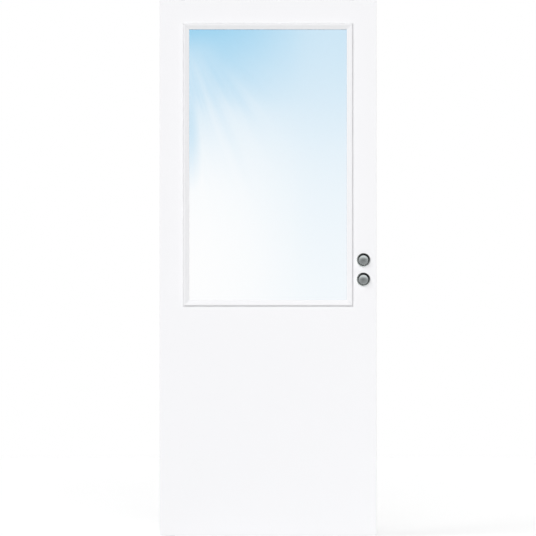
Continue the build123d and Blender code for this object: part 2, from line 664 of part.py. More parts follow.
def running_gear():
    """Carriage, wheels, bolt and plate at each end of the leaf."""
    made = {}
    for side, x in CARRIAGE_X.items():
        made["carriage_" + side] = carriage(x)
        made["wheels_" + side] = wheels(x)
        made["hanger_bolt_" + side] = hanger_bolt(x)
        made["hanger_plate_" + side] = hanger_plate(x)
    return made


def all_parts():
    return {
        "face_panel_front": face_panel(LEAF_FRONT, LEAF_FRONT + SKIN_THICKNESS),
        "face_panel_back": face_panel(LEAF_BACK, LEAF_BACK - SKIN_THICKNESS),
        **leaf_frame(),
        **beads(),
        "glass_pane": glass_pane(),
        "glazing_tape_front": glazing_tape(-1),
        "glazing_tape_back": glazing_tape(1),
        "setting_blocks": setting_blocks(),
        **knobs(),
        "lock_body": lock_body(),
        "hook_bolt": hook_bolt(),
        **running_gear(),
        "track_profile": track_profile(),
        "end_cap_left": end_cap(-1),
        "end_cap_right": end_cap(1),
        "wall_angle": wall_angle(),
        **stops(),
        "floor_guide": floor_guide(),
    }


os.makedirs("parts", exist_ok=True)
for name, shape in all_parts().items():
    export_step(shape, f"parts/{name}.step")
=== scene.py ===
"""Dresses the glazed sliding door: its lacquered leaf, mitred beads and pane, its turned knobs,
and the wheels, hangers and track that carry it."""

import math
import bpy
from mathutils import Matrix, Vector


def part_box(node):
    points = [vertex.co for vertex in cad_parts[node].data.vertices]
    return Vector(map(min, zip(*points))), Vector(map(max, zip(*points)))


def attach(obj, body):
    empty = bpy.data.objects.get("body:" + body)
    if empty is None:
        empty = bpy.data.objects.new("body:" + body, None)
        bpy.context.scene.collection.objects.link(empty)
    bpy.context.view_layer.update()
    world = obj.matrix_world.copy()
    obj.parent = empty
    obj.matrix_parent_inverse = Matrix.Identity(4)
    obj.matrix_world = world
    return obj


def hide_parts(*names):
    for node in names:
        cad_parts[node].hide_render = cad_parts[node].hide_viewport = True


bl_info = {
    "name": "Glazed sliding door",
    "version": (1, 0, 0),
    "blender": (4, 5, 0),
    "location": "View3D > Sidebar > Sliding door",
    "description": "Builds the finishes and the small turned and threaded pieces of a top-hung glazed door",
    "category": "Add Mesh",
}

import bmesh
import bpy
from bpy.props import FloatProperty, FloatVectorProperty, IntProperty, PointerProperty
from bpy.types import Operator, Panel, PropertyGroup
from mathutils import Matrix, Vector

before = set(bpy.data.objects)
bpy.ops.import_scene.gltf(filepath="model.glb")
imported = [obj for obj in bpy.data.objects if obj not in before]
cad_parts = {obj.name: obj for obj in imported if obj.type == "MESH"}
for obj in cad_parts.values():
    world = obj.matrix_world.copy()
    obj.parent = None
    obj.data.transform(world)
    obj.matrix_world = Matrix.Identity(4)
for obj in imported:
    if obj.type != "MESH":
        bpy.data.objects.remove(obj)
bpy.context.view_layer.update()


def size_of(node):
    """The size of a node's box."""
    low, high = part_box(node)
    return high - low


def middle(node):
    """The middle of a node's box."""
    low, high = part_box(node)
    return (low + high) / 2


# All lengths are in metres. These come from the door's solids.
LEAF_LOW, LEAF_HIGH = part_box("face_panel_front")
PANE_LOW, PANE_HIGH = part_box("glass_pane")
BEADS_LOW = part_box("bead_front_bottom")[0]
BEADS_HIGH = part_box("bead_front_top")[1]
ROSE_THICKNESS = size_of("rose_upper_front").y
FLOOR_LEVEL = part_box("floor_guide")[0].z

# Which way each face of the leaf looks along Y, and where it is
FACES = {
    "front": (-1, LEAF_LOW.y),
    "back": (1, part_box("face_panel_back")[1].y),
}

# An edge stays crisp where its faces turn by more than this many degrees
SHARP = 35.0
SLIGHTLY_SHARP = 25.0

# Points of a node closer together than this are joined before its edges are eased
WELD_REACH = 0.000005

# Knobs and roses. The neck joins a knob's head to the leaf, the finger gap is the room between the
# head and the rose, and the cove is the hollow in the rose round the neck.
NECK_RADIUS = 0.009
NECK_CLEARANCE = 0.0003
NECK_FLARE = 0.0025
FINGER_GAP = 0.009
ROSE_LIP = 0.0015
ROSE_RIM = 0.0014
ROSE_FLOOR = 0.0026
COVE_SHARE = 2 / 3
COVE_CHAMFER = 0.0002
LIP_STEPS = 8
CURVE_STEPS = 12

# Screws, each given by the radius of its head, and grub screws
SCREW_RISE = 0.0005
SCREW_FACETS = 48
FOREND_SCREW = 0.0038
FOREND_INSET = 0.011
PLATE_SCREW = 0.0042
PLATE_INSETS = (0.012, 0.036)
TRACK_SCREW = 0.0045
TRACK_SCREWS = 6
ANGLE_THICKNESS = 0.004
GRUB_RISE = 0.0002
KNOB_GRUB = 0.002
KNOB_GRUB_DEPTH = 0.003
KNOB_GRUB_HEIGHT = 0.0045
STOP_GRUB = 0.0025
STOP_GRUB_DEPTH = 0.004
STOP_GRUB_PLACES = (0.3, 0.7)

# Wheels, their bearings, and the rings that keep them on their axles. The web is the thin part
# between hub and rim.
WHEEL_WIDTH = 0.006
WHEEL_RIM = 0.003
WHEEL_HUB = 0.0055
WHEEL_BORE = 0.0032
WHEEL_FACETS = 64
WEB_SHARE = 0.6
WEB_SLOPE = 0.0006
TREAD_LIP = 0.0006
TREAD_CROWN = 0.0002
TREAD_STEPS = 3
BEARING_BORE = 0.0031
BEARING_RADIUS = 0.0045
BEARING_RISE = 0.0002
KEEPER_BORE = 0.003
KEEPER_RADIUS = 0.0048
KEEPER_GAP = 0.0004
KEEPER_TOP = 0.001

# Hanger bolts, their nuts and washers. A bite is how far a bore reaches into the thread, and the
# face is the flat end of a nut, as a share of its width.
NUT_WIDTH = 0.013
NUT_HEIGHT = 0.005
LOCK_NUT_HEIGHT = 0.004
NUT_BITE = 0.0006
NUT_FACE = 0.97
NUT_SLOPE = math.tan(math.radians(30))
NUT_FACETS = 72
HEAD_HEIGHT = 0.005
WASHER_RADIUS = 0.008
WASHER_THICKNESS = 0.0012
WASHER_BITE = 0.0003
WASHER_FACETS = 48
THREAD_STOP = 0.004
THREAD_DEPTH = 0.6
THREAD_STEPS = 6
THREAD_FACETS = 24

# Painted sky reflection on the pane, from its top to its bottom, down the left edge and down the right
# edge, and how the two mix from left to right
PAINTED_SKY_LEFT = [(0, 0.94), (0.15, 0.7), (0.24, 0.53), (0.35, 0.28), (0.55, 0.08), (0.7, 0.03), (1, 0.015)]
PAINTED_SKY_RIGHT = [(0, 0.54), (0.2, 0.455), (0.35, 0.36), (0.5, 0.265), (0.75, 0.18), (1, 0.135)]
PAINTED_SKY_MIX = [(0, 0), (0.3, 0.2), (0.6, 0.66), (0.8, 0.97), (1, 1)]

# Shares of the pane's width and height: the painted sky is thinned near the upper left corner, and
# stays deep in a strip by the left edge
THIN_DEPTH = 0.075
THIN_ACROSS = (0.04, 0.26)
THIN_START = (0.0, 0.1)
THIN_END = (0.12, 0.26)
STRIP_DEPTH = 0.53
STRIP_ACROSS = (0.02, 0.15)
STRIP_DOWN = (0.36, 0.66)

# The painted light rays fan out from a point left of the pane and above it, and fade out to the right
# and towards the top
STREAKS_LEFT = 0.1
STREAKS_ABOVE = 0.12
STREAKS_ACROSS = (0.25, 0.7)
STREAKS_DOWN = (0.04, 0.25)
STREAK_SCALE = 8.0
STREAK_WAVER = 0.25

# How turned metal darkens towards its middle, as a painted reflection, and towards its upper right side, as
# painted shade
MIDDLE_POWER = 1.5
SIDE_LEAN = 0.4
SIDE_SPAN = (-0.85, 1.0)

# Stage: the directions that the lamps shine from, the tones of the floor, and the brightness of the
# studio that metal mirrors
KEY_ASIDE = 0.48
KEY_AHEAD = 0.7
KEY_ABOVE = 0.53
FILL_AHEAD = 0.98
FILL_ABOVE = 0.2
FLOOR_TONES = (0.86, 0.88)
FLOOR_LIFT = 0.38
FLOOR_BOUNCE = 0.4
MIRROR_AHEAD = 0.85
MIRROR_ASIDE = 1.35
MIRROR_TURN = (1.0, 0.65)
MIRROR_ABOVE = 1.25
MIRROR_RISE = (0.1, 0.7)
NEAREST = 1.0
FARTHEST = 200.0
WHITE = (1.0, 1.0, 1.0, 1.0)


# Sizes and colours that a user would change

def length(name, description, default):
    return FloatProperty(
        name=name, description=description, default=default, min=0.0, unit="LENGTH", precision=5
    )


def share(name, description, default):
    return FloatProperty(
        name=name, description=description, default=default, min=0.0, max=1.0, subtype="FACTOR"
    )


def number(name, description, default):
    return FloatProperty(name=name, description=description, default=default, min=0.0)


def colour(name, description, default):
    return FloatVectorProperty(
        name=name, description=description, default=default, size=3, min=0.0, max=1.0, subtype="COLOR"
    )


def spread(name, description, degrees):
    return FloatProperty(
        name=name, description=description, default=math.radians(degrees), min=0.0, subtype="ANGLE"
    )


class LeafFinish(PropertyGroup):
    lacquer: colour("Lacquer", "Colour of the sprayed white lacquer", (0.93, 0.93, 0.947))
    gloss: share("Roughness", "Roughness of the cured lacquer", 0.42)
    peel_size: length("Peel size", "Width of the spray's orange peel", 0.0035)
    peel_depth: length("Peel depth", "Depth of the spray's orange peel", 0.00003)
    # The beads' lacquer is the leaf's lacquer made darker, as painted shade on the beads
    bead_painted_shade: share("Bead painted shade", "Level of the beads' lacquer against the leaf's, darker as painted shade", 0.965)
    # Joint shade and joint reach set the painted shade along the joint between the beads and the leaf
    painted_joint_depth: share("Joint shade", "How much painted shade darkens the joint between beads and leaf", 0.16)
    painted_joint_reach: length("Joint reach", "How far the painted shade lies out from that joint", 0.0045)
    board: colour("Board", "Colour of the particle board core", (0.52, 0.37, 0.21))


class GlazingFinish(PropertyGroup):
    # The pane's sky colours and streaks are a painted sky reflection and painted light rays
    deep_painted_sky: colour("Deep sky", "Painted sky reflection on the pane at its upper corner", (0.27, 0.62, 0.865))
    pale_painted_sky: colour("Pale sky", "Painted sky reflection on the pane where it is palest", (1.0, 1.0, 1.0))
    streaks: share("Streaks", "Strength of the painted light rays that fan down the pane", 0.165)
    tape: colour("Tape", "Colour of the foam tape", (0.75, 0.75, 0.75))


class KnobForm(PropertyGroup):
    head: length("Head", "Diameter of the knob's head", size_of("pull_knob_front").x)
    crown: length("Crown", "Height of the dome on the head", 0.0035)
    lip: length("Lip radius", "Radius of the head's edges", 0.0016)
    rose: length("Rose", "Diameter of the rose", size_of("rose_upper_front").x)
    nickel: colour("Nickel", "Colour of the satin nickel", (0.293, 0.314, 0.314))
    # The roses' nickel is light, and painted shade darkens the upper right side of each rose
    dark: colour("Rose nickel", "Colour of the roses' nickel, under its painted shade", (0.80, 0.835, 0.825))
    facets: IntProperty(name="Facets", description="Steps round a turned piece", default=96, min=24)


class GearForm(PropertyGroup):
    wheel: length("Wheel", "Diameter of a wheel", size_of("wheels_left").z)
    bolt: length("Bolt", "Diameter of the hanger bolts", 0.008)
    pitch: length("Pitch", "Pitch of the hanger bolts' thread", 0.00125)
    aluminium: colour("Aluminium", "Colour of the anodised aluminium", (0.40, 0.41, 0.42))
    zinc: colour("Zinc", "Colour of the bright zinc plating", (0.5, 0.51, 0.5))
    casting: colour("Casting", "Colour of the die-cast pieces", (0.4, 0.405, 0.41))
    nylon: colour("Nylon", "Colour of the wheels", (0.022, 0.022, 0.025))


class StageSetup(PropertyGroup):
    lens: FloatProperty(
        name="Lens", description="Focal length of the camera", default=500.0, min=10.0, unit="CAMERA"
    )
    key: number("Key", "Strength of the key lamp of each face", 1.03)
    key_width: spread("Key width", "How wide the key lamps look", 34)
    fill: number("Fill", "Strength of the fill lamp of each face", 1.79)
    fill_width: spread("Fill width", "How wide the fill lamps look", 20)
    sky: share("Sky", "Strength of the light from all round", 0.15)
    floor: length("Floor", "Width of the floor", 24.0)


SETTINGS = {
    "door_leaf": LeafFinish,
    "door_glazing": GlazingFinish,
    "door_knobs": KnobForm,
    "door_gear": GearForm,
    "door_stage": StageSetup,
}


# Shader nodes

def add(tree, kind, **settings):
    """A new node with its own settings. Settings that name an input set that input's value."""
    node = tree.nodes.new(kind)
    for name, value in settings.items():
        if hasattr(node, name):
            setattr(node, name, value)
        else:
            node.inputs[name.replace("_", " ")].default_value = value
    return node


def feed(tree, socket, value):
    """Links a socket to another, or gives it a plain value."""
    if isinstance(value, bpy.types.NodeSocket):
        tree.links.new(value, socket)
    elif value is not None:
        socket.default_value = value


def arithmetic(tree, operation, first, second=None, clamp=False):
    """One arithmetic node. Each operand is a socket or a number."""
    node = add(tree, "ShaderNodeMath", operation=operation, use_clamp=clamp)
    feed(tree, node.inputs[0], first)
    feed(tree, node.inputs[1], second)
    return node.outputs[0]


def vectors(tree, operation, first, second=None):
    """One vector arithmetic node. Its second operand is a number for SCALE and else a vector."""
    node = add(tree, "ShaderNodeVectorMath", operation=operation)
    feed(tree, node.inputs[0], first)
    feed(tree, node.inputs["Scale"] if operation == "SCALE" else node.inputs[1], second)
    return node.outputs[0]


def split(tree, vector):
    """The three numbers of a vector."""
    node = add(tree, "ShaderNodeSeparateXYZ")
    tree.links.new(vector, node.inputs[0])
    return node.outputs


def noise(tree, place, scale, detail=2.0, roughness=0.5):
    """Noise at a place, with a scale that is a socket or a number."""
    node = add(tree, "ShaderNodeTexNoise", Detail=detail, Roughness=roughness)
    tree.links.new(place, node.inputs["Vector"])
    feed(tree, node.inputs["Scale"], scale)
    return node.outputs["Fac"]


def ranged(tree, value, span, out=(0.0, 1.0), smooth=True):
    """A value mapped from one span to another."""
    kind = "SMOOTHSTEP" if smooth else "LINEAR"
    node = add(tree, "ShaderNodeMapRange", interpolation_type=kind, clamp=True)
    for name, number in zip(("From Min", "From Max", "To Min", "To Max"), (*span, *out)):
        node.inputs[name].default_value = number
    tree.links.new(value, node.inputs["Value"])
    return node.outputs["Result"]


def curve_of(tree, value, points):
    """A smooth curve through points, as a node that reads a value from 0 to 1."""
    node = add(tree, "ShaderNodeFloatCurve")
    curve = node.mapping.curves[0]
    for place, (x, y) in zip(curve.points, (points[0], points[-1])):
        place.location = (x, y)
    for x, y in points[1:-1]:
        curve.points.new(x, y)
    node.mapping.update()
    tree.links.new(value, node.inputs["Value"])
    return node.outputs["Value"]


def mixed(tree, factor, first, second):
    """One of two shaders, or a mix of them."""
    node = add(tree, "ShaderNodeMixShader")
    for socket, source in zip(node.inputs, (factor, first, second)):
        tree.links.new(source, socket)
    return node.outputs[0]


def ray_is(tree, *kinds):
    """One for rays of the named kinds, and zero for all others."""
    rays = add(tree, "ShaderNodeLightPath").outputs
    found, *others = [rays[f"Is {kind} Ray"] for kind in kinds]
    for other in others:
        found = arithmetic(tree, "MAXIMUM", found, other)
    return found


def swing(tree, factor, amount):
    """A factor about one half, as a value about zero."""
    return arithmetic(tree, "MULTIPLY", arithmetic(tree, "SUBTRACT", factor, 0.5), amount)


def shaded(tree, base, factor, amount):
    """A colour that a factor makes a little darker and lighter."""
    return vectors(tree, "SCALE", base, arithmetic(tree, "ADD", swing(tree, factor, amount), 1.0))


def roughened(tree, base, factor, amount):
    """A roughness that a factor raises and lowers about its base value."""
    return arithmetic(tree, "ADD", base, swing(tree, factor, amount), clamp=True)


def bumped(tree, height, depth):
    """The normal that a height and its real depth give."""
    node = add(tree, "ShaderNodeBump", Strength=1.0)
    tree.links.new(height, node.inputs["Height"])
    tree.links.new(depth, node.inputs["Distance"])
    return node.outputs["Normal"]


# Shader node groups that several finishes share

SURFACE_INPUTS = [
    ("Position", "Vector", None),
    ("Colour", "Color", (0.8, 0.8, 0.8, 1.0)),
    ("Drift", "Float", 0.03),
]
SURFACE_OUTPUTS = [("Colour", "Color"), ("Roughness", "Float"), ("Normal", "Vector")]


def start_group(name, inputs, outputs):
    """A node group, the sockets that it is given and those that it puts out. Each input is a name,
    a kind and a default."""
    group = bpy.data.node_groups.new(name, "ShaderNodeTree")
    for socket, kind, default in inputs:
        made = group.interface.new_socket(name=socket, in_out="INPUT", socket_type="NodeSocket" + kind)
        if default is not None:
            made.default_value = default
    for socket, kind in outputs:
        group.interface.new_socket(name=socket, in_out="OUTPUT", socket_type="NodeSocket" + kind)
    given = group.nodes.new("NodeGroupInput").outputs
    return group, given, group.nodes.new("NodeGroupOutput").inputs


def put_out(group, out, tone, roughness, normal):
    """Sends a surface's three results to the group's outputs."""
    for name, result in (("Colour", tone), ("Roughness", roughness), ("Normal", normal)):
        group.links.new(result, out[name])


def sprayed_group():
    """Sprayed lacquer: a slow drift of tone, patches of gloss and a fine orange peel."""
    own = [("Roughness", "Float", 0.4), ("Peel scale", "Float", 300.0), ("Peel depth", "Float", 0.00002)]
    group, given, out = start_group("sprayed lacquer", SURFACE_INPUTS + own, SURFACE_OUTPUTS)
    place = given["Position"]
    slow = noise(group, place, scale=2.2, detail=3.0)
    patches = noise(group, place, scale=9.0, detail=4.0, roughness=0.6)
    peel = noise(group, place, scale=given["Peel scale"], detail=1.0, roughness=0.4)
    tone = shaded(group, given["Colour"], slow, given["Drift"])
    gloss = roughened(group, given["Roughness"], patches, amount=0.1)
    put_out(group, out, tone, gloss, bumped(group, peel, given["Peel depth"]))
    return group


def drawn_group():
    """Drawn or brushed metal: fine lines along one direction, set by how much each axis is squeezed."""
    own = [
        ("Squeeze", "Vector", (1.0, 1.0, 1.0)),
        ("Roughness", "Float", 0.35),
        ("Line depth", "Float", 0.00001),
    ]
    group, given, out = start_group("drawn metal", SURFACE_INPUTS + own, SURFACE_OUTPUTS)
    place = given["Position"]
    lines = noise(group, vectors(group, "MULTIPLY", place, given["Squeeze"]), 1.0, detail=5.0, roughness=0.7)
    clouds = noise(group, place, scale=14.0, detail=4.0, roughness=0.55)
    tone = shaded(group, given["Colour"], lines, given["Drift"])
    tone = shaded(group, tone, clouds, given["Drift"])
    gloss = roughened(group, given["Roughness"], clouds, amount=0.22)
    put_out(group, out, tone, gloss, bumped(group, lines, given["Line depth"]))
    return group


def turned_group():
    """Turned metal or nylon: fine rings about the piece's own Z axis, and slight smudges from handling.
    The middle can carry a painted dark reflection, and the upper right side painted shade."""
    own = [
        ("Ring scale", "Float", 900.0),
        ("Roughness", "Float", 0.3),
        ("Ring depth", "Float", 0.00001),
        ("Reach", "Float", 0.02),
        ("Middle shade", "Float", 0.0),
        ("Side shade", "Float", 0.0),
    ]
    group, given, out = start_group("turned rings", SURFACE_INPUTS + own, SURFACE_OUTPUTS)
    parts = split(group, given["Position"])
    squares = [arithmetic(group, "POWER", parts[axis], 2.0) for axis in ("X", "Y")]
    radius = arithmetic(group, "SQRT", arithmetic(group, "ADD", *squares))
    section = add(group, "ShaderNodeCombineXYZ")
    group.links.new(radius, section.inputs["X"])
    group.links.new(parts["Z"], section.inputs["Z"])
    rings = noise(group, section.outputs[0], given["Ring scale"], detail=3.0, roughness=0.6)
    smudges = noise(group, given["Position"], scale=130.0, detail=4.0, roughness=0.55)
    # Painted reflection: darker towards the middle of the piece
    reach = arithmetic(group, "DIVIDE", radius, given["Reach"], clamp=True)
    inward = arithmetic(group, "SUBTRACT", 1.0, arithmetic(group, "POWER", reach, MIDDLE_POWER))
    # Painted shade: darker towards the upper right side
    lean = arithmetic(group, "ADD", parts["Y"], arithmetic(group, "MULTIPLY", parts["X"], SIDE_LEAN))
    aside = ranged(group, arithmetic(group, "DIVIDE", lean, given["Reach"]), SIDE_SPAN)
    shades = ((inward, given["Middle shade"]), (aside, given["Side shade"]))
    kept = [arithmetic(group, "SUBTRACT", 1.0, arithmetic(group, "MULTIPLY", *pair)) for pair in shades]
    tone = shaded(group, given["Colour"], rings, given["Drift"])
    tone = vectors(group, "SCALE", tone, arithmetic(group, "MULTIPLY", *kept))
    gloss = roughened(group, given["Roughness"], smudges, amount=0.2)
    put_out(group, out, tone, gloss, bumped(group, rings, given["Ring depth"]))
    return group


def grained_group():
    """The fine grain of castings, moulded plastic, foam and rubber."""
    own = [("Grain scale", "Float", 900.0), ("Roughness", "Float", 0.5), ("Grain depth", "Float", 0.00003)]
    group, given, out = start_group("fine grain", SURFACE_INPUTS + own, SURFACE_OUTPUTS)
    grain = noise(group, given["Position"], given["Grain scale"], detail=4.0, roughness=0.65)
    clouds = noise(group, given["Position"], scale=60.0, detail=3.0, roughness=0.5)
    tone = shaded(group, given["Colour"], grain, given["Drift"])
    tone = shaded(group, tone, clouds, given["Drift"])
    gloss = roughened(group, given["Roughness"], clouds, amount=0.18)
    put_out(group, out, tone, gloss, bumped(group, grain, given["Grain depth"]))
    return group


def painted_joint_shade_group():
    """Painted shade in a joint that runs round a rectangle in the XZ plane: it darkens a colour near the
    joint.
    """
    own = [
        ("Position", "Vector", None),
        ("Colour", "Color", (0.8, 0.8, 0.8, 1.0)),
        ("Middle", "Vector", (0.0, 0.0, 0.0)),
        ("Half size", "Vector", (0.5, 0.0, 0.5)),
        ("Reach", "Float", 0.004),
        ("Depth", "Float", 0.1),
    ]
    group, given, out = start_group("painted joint shade", own, [("Colour", "Color")])
    away = vectors(group, "ABSOLUTE", vectors(group, "SUBTRACT", given["Position"], given["Middle"]))
    beyond = split(group, vectors(group, "SUBTRACT", away, given["Half size"]))
    distance = arithmetic(group, "ABSOLUTE", arithmetic(group, "MAXIMUM", beyond["X"], beyond["Z"]))
    share_of_reach = arithmetic(group, "DIVIDE", distance, given["Reach"])
    near = arithmetic(group, "SUBTRACT", 1.0, share_of_reach, clamp=True)
    uneven = noise(group, given["Position"], scale=40.0, detail=3.0, roughness=0.6)
    amount = arithmetic(group, "MULTIPLY", near, arithmetic(group, "ADD", uneven, 0.5))
    kept = arithmetic(group, "SUBTRACT", 1.0, arithmetic(group, "MULTIPLY", amount, given["Depth"]))
    group.links.new(vectors(group, "SCALE", given["Colour"], kept), out["Colour"])
    return group


GROUP_MAKERS = {
    "painted joint shade": painted_joint_shade_group,
    "sprayed lacquer": sprayed_group,
    "drawn metal": drawn_group,
    "turned rings": turned_group,
    "fine grain": grained_group,
}


def effect(tree, name, position, **values):
    """A shared group in a finish, with its values. The group is made the first time it is asked for."""
    group = bpy.data.node_groups.get(name) or GROUP_MAKERS[name]()
    node = add(tree, "ShaderNodeGroup", node_tree=group)
    for socket, value in values.items():
        node.inputs[socket.replace("_", " ")].default_value = value
    tree.links.new(position, node.inputs["Position"])
    return node


# Finishes

def blank_material(name):
    """A material with its tree, shader and the position on the piece."""
    made = bpy.data.materials.new(name)
    made.use_nodes = True
    tree = made.node_tree
    position = add(tree, "ShaderNodeTexCoord").outputs["Object"]
    return made, tree, tree.nodes["Principled BSDF"], position


def grouped_material(name, group, tone, drift, roughness, metallic=0.0, shine=0.5, **own):
    """A finish whose colour, roughness and normal come from one of the shared groups."""
    if name in bpy.data.materials:
        return bpy.data.materials[name]
    made, tree, shader, position = blank_material(name)
    surface = effect(tree, group, position, Colour=(*tone, 1.0), Drift=drift, Roughness=roughness, **own)
    tree.links.new(surface.outputs["Colour"], shader.inputs["Base Color"])
    tree.links.new(surface.outputs["Roughness"], shader.inputs["Roughness"])
    tree.links.new(surface.outputs["Normal"], shader.inputs["Normal"])
    shader.inputs["Metallic"].default_value = metallic
    shader.inputs["Specular IOR Level"].default_value = shine
    return made


def toned(base, level):
    """A colour at another level."""
    return tuple(part * level for part in base)


def lacquer(name="white lacquer", level=1.0):
    """Sprayed white lacquer, with painted shade in the joint between the beads and the leaf."""
    if name in bpy.data.materials:
        return bpy.data.materials[name]
    finish = bpy.context.scene.door_leaf
    made = grouped_material(
        name, "sprayed lacquer", toned(finish.lacquer, level), drift=0.006, roughness=finish.gloss,
        shine=0.25, Peel_scale=1 / finish.peel_size, Peel_depth=finish.peel_depth,
    )
    tree = made.node_tree
    base = tree.nodes["Principled BSDF"].inputs["Base Color"]
    # Painted shade: the lacquer is darker near the outline of the bead frame, where the beads meet the leaf
    joint = effect(
        tree, "painted joint shade", tree.nodes["Texture Coordinate"].outputs["Object"],
        Middle=(BEADS_LOW + BEADS_HIGH) / 2, Half_size=(BEADS_HIGH - BEADS_LOW) / 2,
        Reach=finish.painted_joint_reach, Depth=finish.painted_joint_depth,
    )
    tree.links.new(base.links[0].from_socket, joint.inputs["Colour"])
    tree.links.new(joint.outputs["Colour"], base)
    return made


# A darker copy of the leaf's lacquer, which paints shade on the beads
def bead_lacquer():
    return lacquer("bead lacquer", bpy.context.scene.door_leaf.bead_painted_shade)


def lacquered_timber():
    """The same lacquer over the timber of the leaf's edges, where a little grain comes through."""
    finish = bpy.context.scene.door_leaf
    return grouped_material(
        "lacquered timber", "drawn metal", toned(finish.lacquer, 0.985), drift=0.02,
        roughness=finish.gloss + 0.06, shine=0.25, Squeeze=(700.0, 700.0, 9.0), Line_depth=0.00004,
    )


def particle_board():
    """Pale chips pressed into a board, seen only in the leaf's core."""
    made, tree, shader, position = blank_material("particle board")
    chips = add(tree, "ShaderNodeTexVoronoi", Scale=420.0)
    tree.links.new(position, chips.inputs["Vector"])
    tones = add(tree, "ShaderNodeValToRGB")
    board = bpy.context.scene.door_leaf.board
    for element, level in zip(tones.color_ramp.elements, (0.7, 1.3)):
        element.color = (*toned(board, level), 1.0)
    tree.links.new(chips.outputs["Color"], tones.inputs["Fac"])
    tree.links.new(tones.outputs["Color"], shader.inputs["Base Color"])
    shader.inputs["Roughness"].default_value = 0.8
    return made


def metal(name, group, tone, roughness, drift, **own):
    return grouped_material(name, group, tone, drift, roughness, metallic=1.0, **own)


# Satin nickel of the knob heads, with a painted dark reflection towards the middle of each head
def satin_nickel():
    form = bpy.context.scene.door_knobs
    return metal(
        "satin nickel", "turned rings", form.nickel, roughness=0.24, drift=0.16,
        Reach=form.head / 2, Middle_shade=0.32,
    )


# Nickel of the roses, with painted shade on the upper right side of each rose
def rose_nickel():
    form = bpy.context.scene.door_knobs
    return metal(
        "rose nickel with painted shade", "turned rings", form.dark, roughness=0.34, drift=0.16,
        Reach=form.rose / 2, Side_shade=0.93,
    )


def bright_zinc():
    """Zinc plating on turned and threaded pieces."""
    return metal("zinc turned", "turned rings", bpy.context.scene.door_gear.zinc, roughness=0.3, drift=0.05)


def plated_sheet():
    """Zinc plating on flat pieces, rolled along X."""
    return metal(
        "zinc sheet", "drawn metal", bpy.context.scene.door_gear.zinc, roughness=0.36, drift=0.15,
        Squeeze=(40.0, 900.0, 900.0),
    )


def lock_steel():
    """Steel of the lock, brushed along Z."""
    return metal(
        "lock steel", "drawn metal", bpy.context.scene.door_gear.zinc, roughness=0.33, drift=0.2,
        Squeeze=(1400.0, 1400.0, 30.0), Line_depth=0.00002,
    )


def anodised_extrusion():
    """Anodised aluminium, with die lines along X."""
    return metal(
        "anodised aluminium", "drawn metal", bpy.context.scene.door_gear.aluminium, roughness=0.38,
        drift=0.14, Squeeze=(3.0, 1200.0, 1200.0), Line_depth=0.00002,
    )


def die_casting():
    return metal(
        "die casting", "fine grain", bpy.context.scene.door_gear.casting, roughness=0.45, drift=0.1,
        Grain_scale=1200.0,
    )


def wheel_nylon():
    return grouped_material(
        "wheel nylon", "turned rings", bpy.context.scene.door_gear.nylon, drift=0.1, roughness=0.42,
        Ring_scale=500.0,
    )


def moulded(name, tone, roughness, depth=0.00002, drift=0.05):
    return grouped_material(name, "fine grain", tone, drift, roughness, Grain_scale=1500.0, Grain_depth=depth)


def buffer_rubber():
    return moulded("buffer rubber", (0.02, 0.02, 0.021), roughness=0.75, depth=0.00004, drift=0.15)


def cap_plastic():
    return moulded("cap plastic", (0.2, 0.205, 0.21), roughness=0.5)


def guide_plastic():
    return moulded("guide plastic", (0.78, 0.78, 0.76), roughness=0.45)


def packer_plastic():
    return moulded("packer plastic", (0.03, 0.03, 0.034), roughness=0.55)


def glazing_foam():
    tape = bpy.context.scene.door_glazing.tape
    return moulded("glazing foam", tape, roughness=0.85, depth=0.00008, drift=0.08)


def painted_ray_shift(tree, across, down):
    """How far the painted sky is shifted by painted light rays that fan down from the upper left corner."""
    below = arithmetic(tree, "ADD", down, STREAKS_ABOVE)
    beside = arithmetic(tree, "ADD", across, STREAKS_LEFT)
    spokes = add(tree, "ShaderNodeCombineXYZ")
    tree.links.new(arithmetic(tree, "ARCTAN2", below, beside), spokes.inputs["X"])
    tree.links.new(arithmetic(tree, "MULTIPLY", down, STREAK_WAVER), spokes.inputs["Y"])
    streaks = noise(tree, spokes.outputs[0], STREAK_SCALE, detail=1.5)
    on_left = ranged(tree, across, STREAKS_ACROSS, (1.0, 0.0))
    below_top = ranged(tree, down, STREAKS_DOWN)
    amount = arithmetic(tree, "MULTIPLY", on_left, below_top)
    amount = arithmetic(tree, "MULTIPLY", amount, bpy.context.scene.door_glazing.streaks)
    return swing(tree, streaks, amount)


